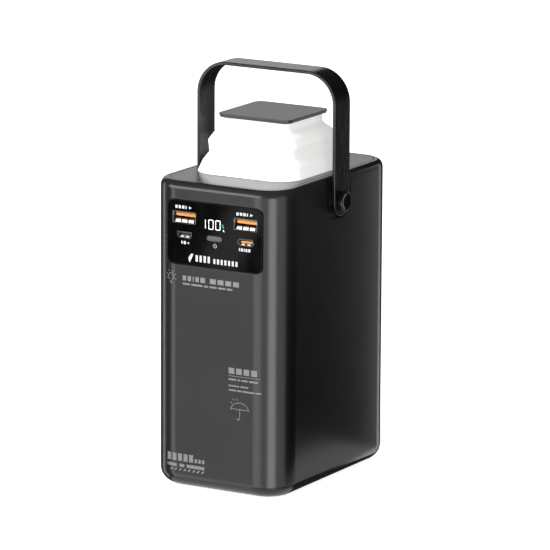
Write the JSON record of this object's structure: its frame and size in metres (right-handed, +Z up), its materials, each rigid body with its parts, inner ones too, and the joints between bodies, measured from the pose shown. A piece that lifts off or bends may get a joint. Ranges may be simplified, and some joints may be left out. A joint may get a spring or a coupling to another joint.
{
  "type": "power bank",
  "caption": "Tall box-shaped outdoor power bank with a port and display panel on its front, a camping lamp on its top and a swinging carry handle.",
  "frame": {"origin": "on the surface the feet stand on, under the middle of the body", "axes": "+Z up, -Y out of the front with the port panel, +X to the right seen from the front"},
  "size_m": [0.085, 0.113, 0.208],
  "materials": {
    "case": "satin, fine grain",
    "cover": "satin",
    "lamp_cap": "satin",
    "panel": "high gloss",
    "button": "satin",
    "port_metal": "bright nickel plate",
    "port_insert": "moulded orange",
    "port_insert_black": "moulded black",
    "strap": "dark anodised with bright chamfers",
    "pivot_cap": "gloss",
    "screw": "plated steel",
    "spacer": "natural nylon",
    "foot": "matt",
    "diffuser": "translucent white",
    "reflector": "white",
    "led": "phosphor yellow",
    "circuit_board": "green solder mask",
    "chip": "moulded black",
    "ferrite": "sintered",
    "capacitor": "bare can",
    "cell": "laminate foil",
    "tray": "moulded black",
    "bus": "nickel strip",
    "lead_red": "silicone insulation",
    "lead_black": "silicone insulation",
    "lead_white": "silicone insulation"
  },
  "bodies": {
    "housing": {"main_case": "case", "top_cover": "cover", "bottom_cover": "cover", "bottom_screw_1": "screw", "bottom_screw_2": "screw", "bottom_screw_3": "screw", "bottom_screw_4": "screw", "rubber_foot_1": "foot", "rubber_foot_2": "foot", "rubber_foot_3": "foot", "rubber_foot_4": "foot", "control_panel": "panel", "usb_a_left_shell": "port_metal", "usb_a_left_tongue": "port_insert", "usb_a_right_shell": "port_metal", "usb_a_right_tongue": "port_insert", "usb_c_shell": "port_metal", "usb_c_tongue": "port_insert", "micro_usb_shell": "port_metal", "micro_usb_tongue": "port_insert_black", "button_switch": "chip", "display_module": "chip", "main_board": "circuit_board", "inductor": "ferrite", "capacitor_lower": "capacitor", "capacitor_upper": "capacitor", "cell_1": "cell", "cell_2": "cell", "cell_3": "cell", "cell_4": "cell", "cell_5": "cell", "cell_6": "cell", "cell_7": "cell", "cell_8": "cell", "cell_tray": "tray", "cell_clamp": "tray", "bus_positive": "bus", "bus_negative": "bus", "lead_positive": "lead_red", "lead_negative": "lead_black", "lamp_lead": "lead_white", "lamp_diffuser": "diffuser", "lamp_cap": "lamp_cap", "lamp_reflector": "reflector", "lamp_board": "reflector", "lamp_led_1": "led", "lamp_led_2": "led", "lamp_led_3": "led", "lamp_led_4": "led", "pivot_spacer_right": "spacer", "pivot_spacer_left": "spacer", "pivot_screw_right": "screw", "pivot_screw_left": "screw"},
    "handle": {"handle": "strap", "pivot_cap_right": "pivot_cap", "pivot_cap_left": "pivot_cap"},
    "power_button": {"power_button": "button"}
  },
  "joints": [
    {"name": "handle_swing", "type": "hinge", "parent": "housing", "child": "handle", "pos_m": [0, 0, 0.143], "axis": [1, 0, 0], "range_deg": [-110, 110]},
    {"name": "power_button_press", "type": "slide", "parent": "housing", "child": "power_button", "axis": [0, 1, 0], "range_m": [0, 0.0005], "stiffness_N_per_m": 3200}
  ]
}
